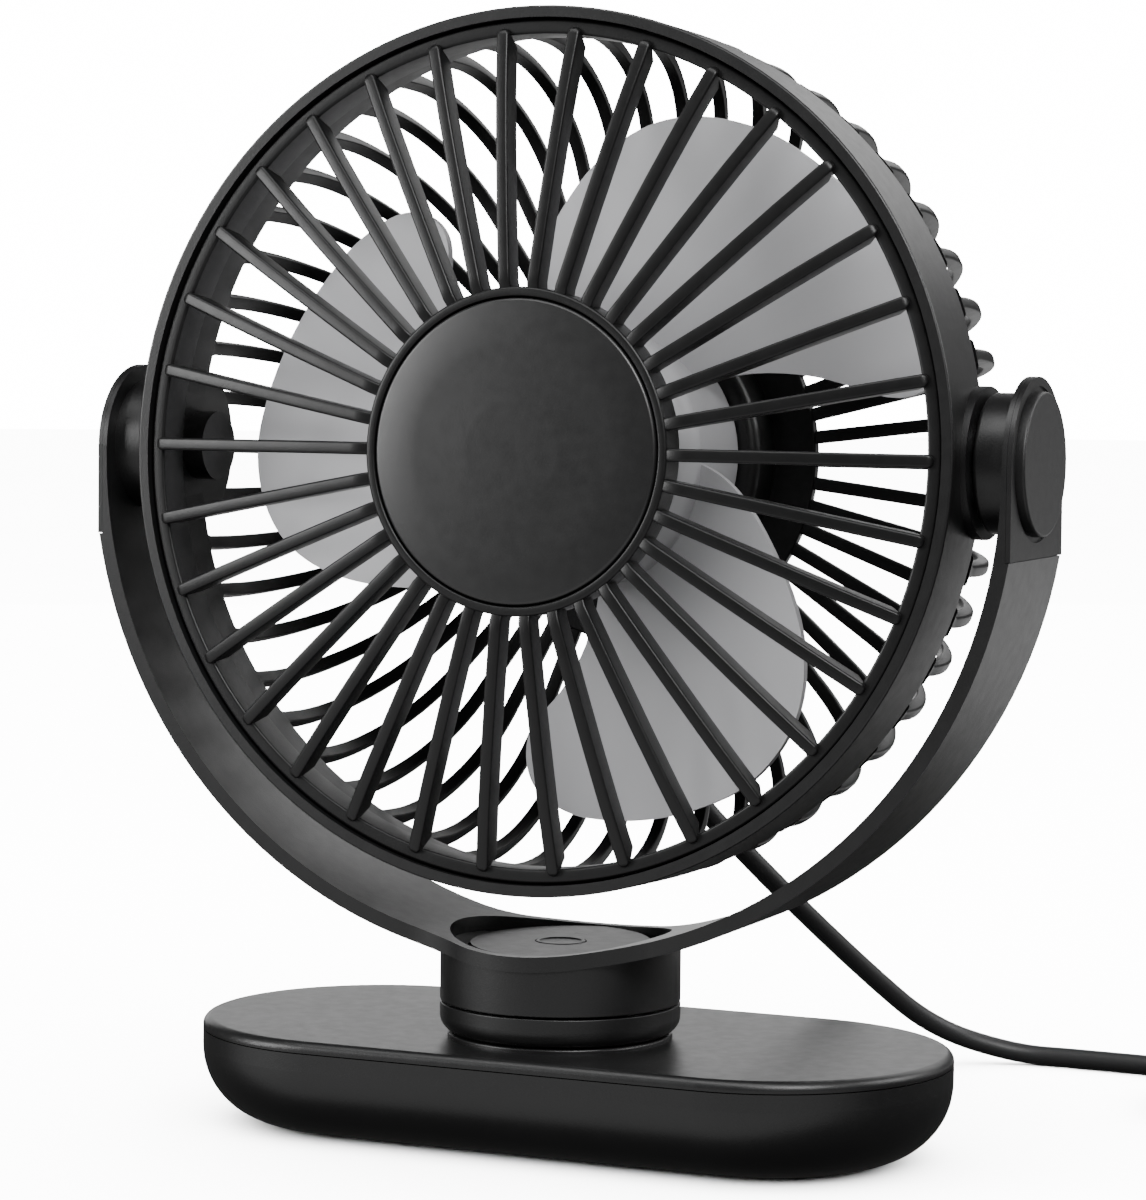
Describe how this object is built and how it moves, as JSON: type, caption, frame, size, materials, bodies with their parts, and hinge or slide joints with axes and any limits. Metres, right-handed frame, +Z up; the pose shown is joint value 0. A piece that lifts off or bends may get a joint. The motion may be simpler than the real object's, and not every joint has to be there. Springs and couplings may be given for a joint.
{
  "type": "desk fan",
  "caption": "Small desk fan: round head with radial grilles and a three-blade impeller, tilting in a U-shaped strip yoke that swivels on a flat oblong base, with a USB lead.",
  "frame": {"origin": "centre of the underside of the base, on the plane it stands on", "axes": "+Z up, the fan blows towards -Y, +X to the right seen from the front"},
  "size_m": [0.2456, 0.1443, 0.2078],
  "materials": {
    "shell": "satin black moulded plastic",
    "grille": "satin black moulded plastic",
    "cap": "fine matt black plastic",
    "disc": "brushed satin black",
    "panel": "satin dark grey",
    "lens": "smoked lens",
    "blade": "smooth mid-grey plastic",
    "rubber_pad": "matt rubber",
    "cord": "matt black cable jacket",
    "gland": "matt black strain relief",
    "plug": "matt black moulding",
    "usb_metal": "nickel-plated sheet",
    "usb_white": "white plastic",
    "gold": "gold-plated contacts",
    "steel": "zinc-plated steel",
    "cast_iron": "plain ballast plate",
    "brass": "turned brass",
    "copper": "wound copper on a steel stack",
    "board": "green circuit board"
  },
  "bodies": {
    "base": {"base_lower_shell": "shell", "base_top_cover": "shell", "ballast_plate": "cast_iron", "anti_slip_pad": "rubber_pad", "base_screws": "steel", "neck_flange": "shell", "neck_lower_collar": "shell", "swivel_washer": "steel", "swivel_bolt": "steel", "spring_washer": "steel", "swivel_nut": "steel", "cord_lead": "cord", "cord_coil": "cord", "cord_tail": "cord", "usb_body": "plug", "usb_collar": "plug", "usb_shell": "usb_metal", "usb_insulator": "usb_white", "usb_contacts": "gold"},
    "yoke": {"neck_upper_collar": "shell", "yoke_frame": "shell", "control_panel": "panel", "indicator_lens": "lens", "control_board": "board", "tact_switch": "panel", "left_arm_cover": "shell", "right_arm_cover": "shell", "left_pivot_cap": "cap", "right_pivot_cap": "cap", "left_pivot_boss": "shell", "right_pivot_boss": "shell", "pivot_screws": "steel", "friction_washers": "steel"},
    "button": {"power_button": "panel"},
    "head": {"drum_housing": "shell", "pivot_bushes": "brass", "front_grille": "grille", "hub_disc": "disc", "rear_grille": "grille", "motor_housing": "shell", "motor_screws": "steel", "motor_stator": "copper", "front_bearing": "steel", "rear_bearing": "steel", "bearing_holder": "steel", "motor_cover": "shell", "cord_gland": "gland"},
    "rotor": {"impeller": "blade", "rotor_shaft": "steel", "rotor_core": "steel", "shaft_lock_ring": "steel"}
  },
  "joints": [
    {"name": "pan", "type": "hinge", "parent": "base", "child": "yoke", "pos_m": [0, -0.005, 0.0266], "axis": [0, 0, 1], "range_deg": [-60, 60], "deforming": ["cord_lead"]},
    {"name": "tilt", "type": "hinge", "parent": "yoke", "child": "head", "pos_m": [0, -0.005, 0.1272], "axis": [-1, 0, 0], "range_deg": [-40, 85], "deforming": ["cord_lead"]},
    {"name": "spin", "type": "hinge", "parent": "head", "child": "rotor", "pos_m": [0, -0.005, 0.1272], "axis": [0, -0.9993, 0.0384], "continuous": true},
    {"name": "press", "type": "slide", "parent": "yoke", "child": "button", "axis": [0, 0, -1], "range_m": [0, 0.0005], "stiffness_N_per_m": 500}
  ]
}
